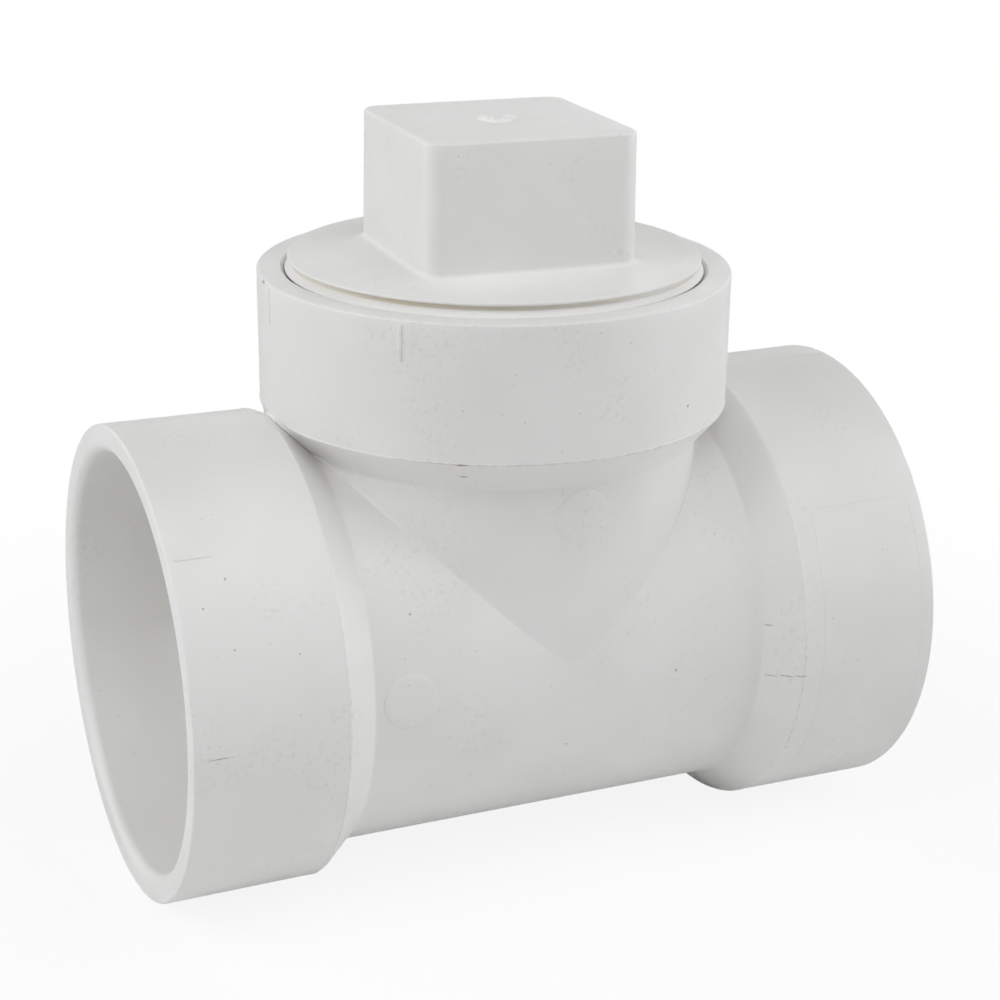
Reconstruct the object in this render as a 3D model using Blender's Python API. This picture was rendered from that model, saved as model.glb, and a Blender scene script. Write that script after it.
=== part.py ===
# Cleanout tee for 2 inch drain pipe: a hub by hub by threaded tee and its square-head plug.
# Units are metres. The run lies along X, the branch stands up +Z, and the origin is where their axes cross.

import math

import bmesh
import bpy
from mathutils import Matrix

MM = 0.001
ROUND_STEPS = 48
ARC_STEPS = 3
MERGE_DISTANCE = 0.0005 * MM

# Driving dimensions: the pipe that the fitting joins
PIPE_RADIUS = 30.16 * MM
BARREL_WALL = 3.9 * MM
SOCKET_MOUTH_GAP = 0.15 * MM
SOCKET_BOTTOM_GAP = -0.07 * MM
SOCKET_DEPTH = 19.05 * MM
SOCKET_CHAMFER = 0.9 * MM
HUB_WALL = 3.9 * MM

# Driving dimensions: the hubs along the barrel
HUB_LENGTH = 22.1 * MM
HUB_DRAFT = 0.22 * MM
SHOULDER_LENGTH = 4.8 * MM
SHOULDER_EDGE_RADIUS = 2.3 * MM
SHOULDER_FILLET_RADIUS = 1.9 * MM
RIM_EDGE = 0.4 * MM

# Driving dimensions: the cleanout branch and its taper pipe thread, 11.5 threads to the inch
BRANCH_HUB_LENGTH = 19.7 * MM
BRANCH_SHOULDER_DROP = 1.0 * MM
BRANCH_DRAFT = 0.15 * MM
THREAD_PITCH = 2.2087 * MM
THREAD_TAPER = 1 / 32
THREAD_DEPTH = 1.45 * MM
THREAD_BELOW_PIPE = 1.0 * MM
THREAD_FLANK_ANGLE = math.radians(30)
CREST_FLAT = 0.25 * MM
THREAD_CLEARANCE = 0.3 * MM
FLANK_CLEARANCE = 0.1 * MM
MOUTH_CHAMFER = 1.1 * MM
THREAD_RUNOUT = 2.2 * MM
LEDGE_ROOM = 2.8 * MM

# Driving dimensions: the plug
PLUG_THREAD_BELOW_RIM = 16.3 * MM
DISC_GAP = 1.35 * MM
DISC_THICKNESS = 0.45 * MM
DISC_SIDE_CLEARANCE = 1.0 * MM
DISC_EDGE = 0.2 * MM
DISC_DOME = 0.3 * MM
COLLAR_INSET = 0.27 * MM
COLLAR_LENGTH = 2.1 * MM
COLLAR_GROOVE = 0.5 * MM
COLLAR_LOW_EDGE = 0.3 * MM
NECK_RUNOUT = 1.0 * MM
PLUG_WALL = 3.2 * MM
HEAD_WIDTH = 31.4 * MM
HEAD_HEIGHT = 19.05 * MM
HEAD_CORNER_RADIUS = 2.0 * MM
HEAD_TOP_RADIUS = 0.75 * MM
HEAD_TURN = math.radians(-4.0)
GATE_MARK_RADIUS = 2.6 * MM
GATE_MARK_HEIGHT = 0.45 * MM
GATE_MARK_SLOPE = 0.5 * MM
PIECE_GAP = 0.3 * MM

# How far a joined or cutting shape reaches past the face that it meets
OVERLAP = 0.2 * MM
CUT_PAST = 1.0 * MM

# Worked out from the driving dimensions
HUB_RADIUS = PIPE_RADIUS + SOCKET_MOUTH_GAP + HUB_WALL
RIM_RADIUS = HUB_RADIUS + HUB_DRAFT
WATERWAY_RADIUS = PIPE_RADIUS - BARREL_WALL
BRANCH_RADIUS = PIPE_RADIUS - BRANCH_DRAFT
BRANCH_WATERWAY_RADIUS = WATERWAY_RADIUS - BRANCH_DRAFT
RUN_HALF = PIPE_RADIUS + SHOULDER_LENGTH + HUB_LENGTH
BRANCH_SHOULDER_LOW = PIPE_RADIUS - BRANCH_SHOULDER_DROP
RIM_HEIGHT = BRANCH_SHOULDER_LOW + SHOULDER_LENGTH + BRANCH_HUB_LENGTH
THREAD_RIM_RADIUS = PIPE_RADIUS - THREAD_BELOW_PIPE
MOUTH_RADIUS = THREAD_RIM_RADIUS + THREAD_DEPTH / 2 + MOUTH_CHAMFER
PLUG_LOW = RIM_HEIGHT - PLUG_THREAD_BELOW_RIM
DISC_LOW = RIM_HEIGHT + DISC_GAP
DISC_TOP = DISC_LOW + DISC_THICKNESS
DISC_RADIUS = MOUTH_RADIUS - DISC_SIDE_CLEARANCE
COLLAR_RADIUS = DISC_RADIUS - COLLAR_INSET
COLLAR_LOW = DISC_LOW - COLLAR_LENGTH
HEAD_TOP = DISC_TOP + DISC_DOME + HEAD_HEIGHT


def clear_scene():
    for thing in list(bpy.data.objects):
        bpy.data.objects.remove(thing)


def pvc(name, colour, roughness):
    material = bpy.data.materials.new(name)
    material.use_nodes = True
    shader = material.node_tree.nodes["Principled BSDF"]
    shader.inputs["Base Color"].default_value = (*colour, 1)
    shader.inputs["Roughness"].default_value = roughness
    shader.inputs["Metallic"].default_value = 0
    return material


def add_object(name, bm, material=None):
    bmesh.ops.remove_doubles(bm, verts=bm.verts, dist=MERGE_DISTANCE)
    bmesh.ops.recalc_face_normals(bm, faces=bm.faces)
    mesh = bpy.data.meshes.new(name)
    bm.to_mesh(mesh)
    bm.free()
    mesh.shade_smooth()
    mesh.set_sharp_from_angle(angle=math.radians(35))
    if material:
        mesh.materials.append(material)
    thing = bpy.data.objects.new(name, mesh)
    bpy.context.collection.objects.link(thing)
    return thing


def rounded_corner(before, corner, after, radius):
    """The points of an arc that rounds one corner of a profile."""
    to_before = (before[0] - corner[0], before[1] - corner[1])
    to_after = (after[0] - corner[0], after[1] - corner[1])
    long_before = math.hypot(*to_before)
    long_after = math.hypot(*to_after)
    u = (to_before[0] / long_before, to_before[1] / long_before)
    v = (to_after[0] / long_after, to_after[1] / long_after)
    half = math.acos(max(-1, min(1, u[0] * v[0] + u[1] * v[1]))) / 2
    back = min(radius / math.tan(half), 0.45 * long_before, 0.45 * long_after)
    reach = back * math.tan(half) / math.sin(half)
    middle = (u[0] + v[0], u[1] + v[1])
    scale = reach / math.hypot(*middle)
    centre = (corner[0] + middle[0] * scale, corner[1] + middle[1] * scale)
    start = (corner[0] + u[0] * back, corner[1] + u[1] * back)
    end = (corner[0] + v[0] * back, corner[1] + v[1] * back)
    first = math.atan2(start[1] - centre[1], start[0] - centre[0])
    last = math.atan2(end[1] - centre[1], end[0] - centre[0])
    sweep = (last - first + math.pi) % (2 * math.pi) - math.pi
    size = math.hypot(start[0] - centre[0], start[1] - centre[1])
    points = []
    for step in range(ARC_STEPS + 1):
        angle = first + sweep * step / ARC_STEPS
        points.append((centre[0] + size * math.cos(angle), centre[1] + size * math.sin(angle)))
    return points


def with_corners(profile, radii):
    """A (radius, height) profile with the corners that radii names rounded."""
    points = []
    for index, point in enumerate(profile):
        if index in radii:
            points += rounded_corner(profile[index - 1], point, profile[index + 1], radii[index])
        else:
            points.append(point)
    return points


def turned(name, profile, material=None, along_x=False):
    """A solid turned about Z, or about X, from a (radius, height) profile that starts and ends on the axis."""
    bm = bmesh.new()
    corners = [bm.verts.new((radius, 0, height)) for radius, height in profile]
    edges = [bm.edges.new(pair) for pair in zip(corners, corners[1:])]
    bmesh.ops.spin(
        bm,
        geom=corners + edges,
        cent=(0, 0, 0),
        axis=(0, 0, 1),
        angle=2 * math.pi,
        steps=ROUND_STEPS,
        use_merge=True,
        use_duplicate=False,
    )
    if along_x:
        bmesh.ops.rotate(bm, verts=bm.verts, matrix=Matrix.Rotation(math.pi / 2, 3, "Y"))
    return add_object(name, bm, material)


def thread_radius(height):
    """The pitch radius of the taper thread at a height above the run's axis."""
    return THREAD_RIM_RADIUS + (height - RIM_HEIGHT) * THREAD_TAPER


def thread_ridge(crest_flat):
    """The (share of a pitch, share of the thread's depth) corners of one ridge."""
    flank = THREAD_DEPTH * math.tan(THREAD_FLANK_ANGLE)
    lengths = [0, flank, flank + crest_flat, 2 * flank + crest_flat]
    middle = lengths[-1] / 2
    return [((length - middle) / THREAD_PITCH, share) for length, share in zip(lengths, (-0.5, 0.5, 0.5, -0.5))]


def threaded_rod(name, low, high, outwards, crest_flat, low_fade, high_fade, material=None):
    """A closed rod with a right-hand taper thread that runs out smoothly at both ends."""
    bm = bmesh.new()
    first_turn = math.floor((low - RIM_HEIGHT) / THREAD_PITCH) - 2
    last_turn = math.ceil((high - RIM_HEIGHT) / THREAD_PITCH) + 1
    corners = []
    for turn in range(first_turn, last_turn + 1):
        for along, share in thread_ridge(crest_flat):
            # The share of the depth is held as a radius near 1 until the ridges are wound
            corners.append(bm.verts.new((1 + share, 0, RIM_HEIGHT + (turn + along) * THREAD_PITCH)))
    edges = [bm.edges.new(pair) for pair in zip(corners, corners[1:])]
    bmesh.ops.spin(
        bm,
        geom=corners + edges,
        cent=(0, 0, 0),
        axis=(0, 0, 1),
        dvec=(0, 0, THREAD_PITCH / ROUND_STEPS),
        angle=2 * math.pi,
        steps=ROUND_STEPS,
        use_merge=False,
        use_duplicate=False,
    )
    for vert in bm.verts:
        share = math.hypot(vert.co.x, vert.co.y) - 1
        height = max(low, min(high, vert.co.z))
        fade = min(1, (height - low) / low_fade, (high - height) / high_fade)
        faded = (share + 0.5) * fade - 0.5
        radius = thread_radius(height) + outwards + faded * THREAD_DEPTH
        vert.co.z = 0
        vert.co = vert.co.normalized() * radius
        vert.co.z = height
    bmesh.ops.remove_doubles(bm, verts=bm.verts, dist=MERGE_DISTANCE)
    rims = [edge for edge in bm.edges if edge.is_boundary]
    bmesh.ops.holes_fill(bm, edges=rims, sides=0)
    return add_object(name, bm, material)


def square_block(name, width, low, high, corner_radius, top_radius, material=None):
    """A square block that stands between two heights, with rounded upright and top edges."""
    bm = bmesh.new()
    bmesh.ops.create_cube(bm, size=1)
    bmesh.ops.scale(bm, vec=(width, width, high - low), verts=bm.verts)
    bmesh.ops.translate(bm, vec=(0, 0, (low + high) / 2), verts=bm.verts)
    upright = [edge for edge in bm.edges if abs(edge.verts[0].co.z - edge.verts[1].co.z) > MM]
    bmesh.ops.bevel(bm, geom=upright, offset=corner_radius, segments=4, profile=0.5, affect="EDGES")
    top = [edge for edge in bm.edges if min(vert.co.z for vert in edge.verts) > high - 0.01 * MM]
    bmesh.ops.bevel(bm, geom=top, offset=top_radius, segments=2, profile=0.5, affect="EDGES")
    bmesh.ops.rotate(bm, verts=bm.verts, matrix=Matrix.Rotation(HEAD_TURN, 3, "Z"))
    return add_object(name, bm, material)


def combine(target, tool, operation):
    """Join a tool to its target or cut it away, and keep the tool out of the finished model."""
    step = target.modifiers.new(f"{operation.lower()} {tool.name}", "BOOLEAN")
    step.object = tool
    step.operation = operation
    step.solver = "EXACT"
    tool.hide_render = True
    tool.display_type = "WIRE"


def run_outside():
    end = [(0, RUN_HALF), (RIM_RADIUS - RIM_EDGE, RUN_HALF), (RIM_RADIUS, RUN_HALF - RIM_EDGE)]
    hub_end = (HUB_RADIUS, RUN_HALF - HUB_LENGTH)
    barrel_end = (PIPE_RADIUS, PIPE_RADIUS)
    half = end + [hub_end, barrel_end]
    other = [(radius, -height) for radius, height in reversed(half)]
    corners = {
        3: SHOULDER_EDGE_RADIUS,
        4: SHOULDER_FILLET_RADIUS,
        5: SHOULDER_FILLET_RADIUS,
        6: SHOULDER_EDGE_RADIUS,
    }
    return with_corners(half + other, corners)


def branch_outside():
    profile = [
        (0, RIM_HEIGHT),
        (RIM_RADIUS - RIM_EDGE, RIM_HEIGHT),
        (RIM_RADIUS, RIM_HEIGHT - RIM_EDGE),
        (HUB_RADIUS, RIM_HEIGHT - BRANCH_HUB_LENGTH),
        (BRANCH_RADIUS, BRANCH_SHOULDER_LOW),
        (BRANCH_RADIUS, 0),
        (0, 0),
    ]
    return with_corners(profile, {3: SHOULDER_EDGE_RADIUS, 4: SHOULDER_FILLET_RADIUS})


def run_bore():
    over = RUN_HALF + CUT_PAST
    mouth_radius = PIPE_RADIUS + SOCKET_MOUTH_GAP
    stop = RUN_HALF - SOCKET_DEPTH
    half = [
        (0, over),
        (mouth_radius + SOCKET_CHAMFER + CUT_PAST, over),
        (mouth_radius, RUN_HALF - SOCKET_CHAMFER),
        (PIPE_RADIUS + SOCKET_BOTTOM_GAP, stop),
        (WATERWAY_RADIUS, stop),
    ]
    return half + [(radius, -height) for radius, height in reversed(half)]


def branch_bore():
    ledge = PLUG_LOW - LEDGE_ROOM
    core = thread_radius(ledge) - THREAD_DEPTH / 2
    return [
        (0, RIM_HEIGHT + CUT_PAST),
        (MOUTH_RADIUS + CUT_PAST, RIM_HEIGHT + CUT_PAST),
        (core, RIM_HEIGHT - (MOUTH_RADIUS - core)),
        (core, ledge),
        (BRANCH_WATERWAY_RADIUS, ledge - (core - BRANCH_WATERWAY_RADIUS)),
        (BRANCH_WATERWAY_RADIUS, 0),
        (0, 0),
    ]


def tee_body():
    white = pvc("moulded white PVC, tee", (0.72, 0.72, 0.71), 0.42)
    body = turned("tee_body", run_outside(), white, along_x=True)
    combine(body, turned("branch outside", branch_outside()), "UNION")
    combine(body, turned("run bore", run_bore(), along_x=True), "DIFFERENCE")
    combine(body, turned("branch bore", branch_bore()), "DIFFERENCE")
    tap_low = PLUG_LOW - LEDGE_ROOM + OVERLAP
    tap_high = RIM_HEIGHT + 2 * THREAD_PITCH
    wide_crest = CREST_FLAT + 2 * FLANK_CLEARANCE
    tap = threaded_rod("tap", tap_low, tap_high, THREAD_CLEARANCE, wide_crest, THREAD_RUNOUT, NECK_RUNOUT)
    combine(body, tap, "DIFFERENCE")
    return body


def cleanout_plug():
    white = pvc("moulded white PVC, plug", (0.74, 0.74, 0.73), 0.38)
    neck_high = COLLAR_LOW + OVERLAP
    plug = threaded_rod(
        "cleanout_plug", PLUG_LOW, neck_high, 0, CREST_FLAT, THREAD_RUNOUT, NECK_RUNOUT, white
    )
    combine(plug, turned("disc and collar", disc_and_collar()), "UNION")
    head = square_block(
        "wrench head", HEAD_WIDTH, DISC_LOW + OVERLAP, HEAD_TOP, HEAD_CORNER_RADIUS, HEAD_TOP_RADIUS
    )
    combine(plug, head, "UNION")
    combine(plug, turned("skirt hollow", skirt_hollow()), "DIFFERENCE")
    inside = HEAD_WIDTH - 2 * PLUG_WALL
    hollow = square_block(
        "head hollow", inside, PLUG_LOW - CUT_PAST, HEAD_TOP - PLUG_WALL, HEAD_CORNER_RADIUS, HEAD_TOP_RADIUS
    )
    combine(plug, hollow, "DIFFERENCE")
    return plug


def disc_and_collar():
    """The thin cover disc, the groove under it and the plain collar above the thread."""
    return [
        (0, DISC_TOP + DISC_DOME),
        (HEAD_WIDTH / 2, DISC_TOP + DISC_DOME),
        (DISC_RADIUS - DISC_EDGE, DISC_TOP),
        (DISC_RADIUS, DISC_TOP - DISC_EDGE),
        (DISC_RADIUS, DISC_LOW),
        (COLLAR_RADIUS - COLLAR_GROOVE, DISC_LOW),
        (COLLAR_RADIUS, DISC_LOW - 2 * COLLAR_GROOVE),
        (COLLAR_RADIUS, COLLAR_LOW + COLLAR_LOW_EDGE),
        (COLLAR_RADIUS - COLLAR_LOW_EDGE, COLLAR_LOW),
        (0, COLLAR_LOW),
    ]


def skirt_hollow():
    skirt_radius = thread_radius(PLUG_LOW) - THREAD_DEPTH / 2 - PLUG_WALL
    ceiling = DISC_TOP - PLUG_WALL
    return [
        (0, ceiling),
        (skirt_radius, ceiling),
        (skirt_radius, PLUG_LOW - CUT_PAST),
        (0, PLUG_LOW - CUT_PAST),
    ]


def plug_gate_mark():
    white = pvc("moulded white PVC, gate mark", (0.78, 0.78, 0.77), 0.55)
    low = HEAD_TOP + PIECE_GAP
    profile = [
        (0, low + GATE_MARK_HEIGHT),
        (GATE_MARK_RADIUS - GATE_MARK_SLOPE, low + GATE_MARK_HEIGHT),
        (GATE_MARK_RADIUS, low),
        (0, low),
    ]
    return turned("plug_gate_mark", profile, white)


clear_scene()
tee_body()
cleanout_plug()
plug_gate_mark()
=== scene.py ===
import math
import bmesh
import bpy
import numpy as np
from mathutils import Matrix, Vector, noise


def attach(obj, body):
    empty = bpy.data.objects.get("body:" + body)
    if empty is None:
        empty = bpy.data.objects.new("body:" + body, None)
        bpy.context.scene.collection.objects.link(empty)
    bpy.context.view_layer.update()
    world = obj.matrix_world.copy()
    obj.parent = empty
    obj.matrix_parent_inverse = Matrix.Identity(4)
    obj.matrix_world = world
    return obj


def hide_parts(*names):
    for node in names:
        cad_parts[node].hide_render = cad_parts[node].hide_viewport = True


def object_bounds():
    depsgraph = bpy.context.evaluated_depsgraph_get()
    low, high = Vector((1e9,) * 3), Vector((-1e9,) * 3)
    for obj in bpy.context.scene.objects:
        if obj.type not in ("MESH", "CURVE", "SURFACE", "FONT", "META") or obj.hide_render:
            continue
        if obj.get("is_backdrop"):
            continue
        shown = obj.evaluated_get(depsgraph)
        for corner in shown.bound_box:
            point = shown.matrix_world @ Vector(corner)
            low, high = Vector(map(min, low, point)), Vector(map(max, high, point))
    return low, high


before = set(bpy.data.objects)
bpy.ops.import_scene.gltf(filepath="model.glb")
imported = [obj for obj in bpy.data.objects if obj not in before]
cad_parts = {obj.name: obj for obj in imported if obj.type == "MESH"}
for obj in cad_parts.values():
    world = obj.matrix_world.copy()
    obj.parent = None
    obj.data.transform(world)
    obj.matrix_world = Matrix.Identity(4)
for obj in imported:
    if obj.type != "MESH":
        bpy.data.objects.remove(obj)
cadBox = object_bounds()
print("frame loaded")

# Settings are in millimetres and degrees; a finished piece is brought to metres once
mm = 0.001
columns = 192  # steps round every turned surface
weldDistance = 0.0008  # points closer than this become one
longestShare = 0.48  # how much of a profile's side one rounded corner may take
fixedKind, outerKind, innerKind, squareKind = 0, 1, 2, 3  # what a row of points follows


def arcCorner(before, corner, after, radius, steps):
    # the points of an arc that rounds one corner of a profile
    before, corner, after = Vector(before), Vector(corner), Vector(after)
    u, v = before - corner, after - corner
    half = u.angle(v) / 2
    back = min(radius / math.tan(half), longestShare * u.length, longestShare * v.length)
    radius = back * math.tan(half)
    u, v = u.normalized(), v.normalized()
    centre = corner + (u + v).normalized() * (radius / math.sin(half))
    start, end = corner + u * back - centre, corner + v * back - centre
    sweep = -start.angle_signed(end)
    points = []
    for i in range(steps + 1):
        points.append(tuple(centre + Matrix.Rotation(sweep * i / steps, 2) @ start))
    return points


def roundedLine(points, radii, steps=6):
    # a profile with some of its corners rounded: radii is {index: radius}
    line = []
    for i, point in enumerate(points):
        if i in radii:
            line += arcCorner(points[i - 1], point, points[i + 1], radii[i], steps)
        else:
            line.append(point)
    return line


def spun(bm, line, axis=(0, 0, 1), steps=columns, merge=True, rise=0):
    # turns a line of points about an axis, rising along it at each step
    edges = [bm.edges.new(pair) for pair in zip(line, line[1:])]
    bmesh.ops.spin(bm, geom=line + edges, cent=(0, 0, 0), axis=axis, dvec=(0, 0, rise), angle=2 * math.pi,
                   steps=steps, use_merge=merge, use_duplicate=False)


def spunShell(rows, alongRun):
    # rows are (height along the axis, radius, ring, margin, kind); the last three stay on the vertices
    bm = bmesh.new()
    ring = bm.verts.layers.float.new("ring")
    margin = bm.verts.layers.float.new("margin")
    kind = bm.verts.layers.int.new("kind")
    line = []
    for height, radius, ringAt, marginBy, kindOf in rows:
        vert = bm.verts.new((height, -radius, 0) if alongRun else (0, -radius, height))
        vert[ring], vert[margin], vert[kind] = ringAt, marginBy, kindOf
        line.append(vert)
    spun(bm, line, (-1, 0, 0) if alongRun else (0, 0, 1))
    return bm


def columnAt(point):
    # the number of the column that a point lies in
    return round(math.atan2(point.x, -point.y) / (2 * math.pi) * columns)


def joined(shells):
    # one closed mesh from shells that meet along their borders
    whole = bmesh.new()
    for shell in shells:
        mesh = bpy.data.meshes.new("part")
        shell.to_mesh(mesh)
        whole.from_mesh(mesh)
        shell.free()
        bpy.data.meshes.remove(mesh)
    bmesh.ops.remove_doubles(whole, verts=whole.verts, dist=weldDistance)
    bmesh.ops.recalc_face_normals(whole, faces=whole.faces)
    return whole


def soil(bm, rings):
    # leaves a share of dirt and painted shade on the vertices near rings, which are (round the run or the
    # branch, place along the axis, radius, reach, strength, first and last degree)
    dirtAndShade = bm.verts.layers.float.new("dirtAndShade")
    for vert in bm.verts:
        x, y, z = vert.co
        share = 0
        for alongRun, height, radius, reach, strength, first, last in rings:
            along, side = (x, z) if alongRun else (z, x)
            away = math.hypot(along - height, math.hypot(side, y) - radius)
            # three reaches away nothing of a ring is left
            if away < 3 * reach and first <= math.degrees(math.atan2(side, -y)) <= last:
                share += strength * math.exp(-(away / reach) ** 2)
        vert[dirtAndShade] = min(1, share)


def addPiece(name, bm, body, material, sharpAngle=32, node=None):
    # the finished piece, in metres, riding on its body
    bmesh.ops.scale(bm, vec=(mm, mm, mm), verts=bm.verts)
    openEdges = sum(1 for edge in bm.edges if len(edge.link_faces) != 2)
    mesh = bpy.data.meshes.new(name)
    if bm.calc_volume(signed=True) < 0:
        bmesh.ops.reverse_faces(bm, faces=bm.faces)
    bm.to_mesh(mesh)
    triangles = sum(len(face.verts) - 2 for face in bm.faces)
    bm.free()
    mesh.shade_smooth()
    mesh.set_sharp_from_angle(angle=math.radians(sharpAngle))
    mesh.materials.append(material)
    piece = bpy.data.objects.new(name, mesh)
    bpy.context.collection.objects.link(piece)
    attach(piece, body)
    if node:
        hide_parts(node)
    print(f"{name}: {triangles} triangles, {openEdges} open edges")


def linear(code):
    # sRGB hex to linear colour
    shares = [int(code[i:i + 2], 16) / 255 for i in (1, 3, 5)]
    return tuple(s / 12.92 if s < 0.04045 else ((s + 0.055) / 1.055) ** 2.4 for s in shares) + (1,)


def addNode(tree, kind, settings=None, links=None):
    # one node with its settings and its links: settings name sockets or properties, links name sockets
    node = tree.nodes.new(kind)
    for key, value in (settings or {}).items():
        if isinstance(key, int) or key in node.inputs:
            node.inputs[key].default_value = value
        else:
            setattr(node, key, value)
    for key, source in (links or {}).items():
        tree.links.new(source, node.inputs[key])
    return node


# each effect follows a cloud of its own size and detail; its fade says where the effect sets in
# and how strong it gets
pvcLook = {
    "drift": {  # the skin's shade wanders slowly where the mould cooled unevenly
        "size": 17, "detail": 2, "clean": "#F0EFED", "colour": "#ECEBE8",
        "fade": {"From Min": 0.38, "From Max": 0.62},
    },
    "patch": {  # where the rub marks are
        "size": 14, "detail": 2, "fade": {"From Min": 0.5, "From Max": 0.66, "To Max": 0.14},
    },
    "scuff": {  # small grey rub marks from the warehouse
        "size": 0.65, "detail": 3, "colour": "#A59C8F",
        "fade": {"From Min": 0.56, "From Max": 0.68}, "dull": 0.15,
    },
    "jitter": {"size": 0.5, "detail": 2, "reach": 0.3},  # makes the specks uneven
    "dirtAndShade": {  # brown handling dirt that stays in edges, with painted shade along shoulder edges and in the groove under the plug's disc
        "size": 0.8, "detail": 4, "colour": "#97826D",
        "fade": {"From Min": 0.3, "From Max": 0.62, "To Max": 0.34},
    },
    "dull": {  # satin, with duller and glossier patches
        "size": 1.9, "detail": 3, "fade": {"From Min": 0.3, "From Max": 0.7, "To Min": 0.36, "To Max": 0.52},
    },
    "waves": {"size": 6.0, "detail": 2, "height": 0.02},  # orange peel
    "grain": {"size": 0.45, "detail": 2, "height": 0.005},  # the mould's fine blasted grain
}
groovePvc = {  # the plug's painted warm shade with a little dirt: an even cream tint in the groove under its disc
    "dirtAndShade": {"size": 30, "colour": "#CFC2A0", "fade": {"From Min": 0.3, "From Max": 0.62, "To Max": 0.6}},
}
tornPvc = {
    "drift": {"size": 1.5, "clean": "#FBFBFA", "colour": "#F3F2EF"},
    "dull": {"size": 0.5, "fade": {"From Min": 0.3, "From Max": 0.7, "To Min": 0.5, "To Max": 0.75}},
}
pvcIor = 1.54

specks = [  # colour, cell, radius, share of the cells left out, strength
    ("#A08C72", 2.4, 0.16, 0.5, 0.4),  # pale brown specks in the resin
    ("#4A382A", 9.0, 0.2, 0.4, 0.7),  # a few burnt ones, nearly black
]
speckCore = 0.4  # the share of a speck's radius in which it has its full strength

stainLook = {"size": 0.35, "detail": 3, "colour": "#8F705B", "ragged": 1.1,
             "fade": {"From Min": 1.5, "From Max": 0.9, "To Max": 0.7}}
stains = [  # single stains on the body that the photograph shows: middle and half sizes
    ((-17.35, -29.34, 34.05), (1.3, 0.9, 0.22)),
    ((-16.4, -27.83, 31.8), (0.8, 0.7, 0.22)),
    ((16.0, -30.15, -0.93), (0.26, 0.4, 0.26)),
    ((16.28, -30.15, 38.75), (0.28, 0.5, 0.28)),
    ((30.8, -30.44, 3.85), (0.8, 0.8, 0.13)),
    ((31.4, -30.9, -4.05), (1.3, 1.3, 0.13)),
    ((33.1, -32.4, -3.8), (1.5, 1.5, 0.12)),
    ((34.9, -33.6, -3.58), (1.3, 1.2, 0.13)),
    ((-53.4, -34.3, -0.33), (2.3, 0.6, 0.12)),
    ((-49.86, -26.7, 21.56), (0.2, 0.3, 0.3)),
    ((-53.57, -28.81, 18.69), (0.16, 0.3, 0.2)),
    ((-50.23, -31.56, 13.47), (0.18, 0.3, 0.18)),
    ((-41.54, -32.18, 11.74), (0.16, 0.3, 0.16)),
    ((-42.16, -34.25, 3.87), (0.2, 0.3, 0.2)),
    ((-34.3, 2.6, 53.3), (0.5, 1.1, 0.35)),
]


def changedLook(changes):
    # the common look with some of its values changed
    return {key: {**part, **changes.get(key, {})} for key, part in pvcLook.items()}


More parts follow.
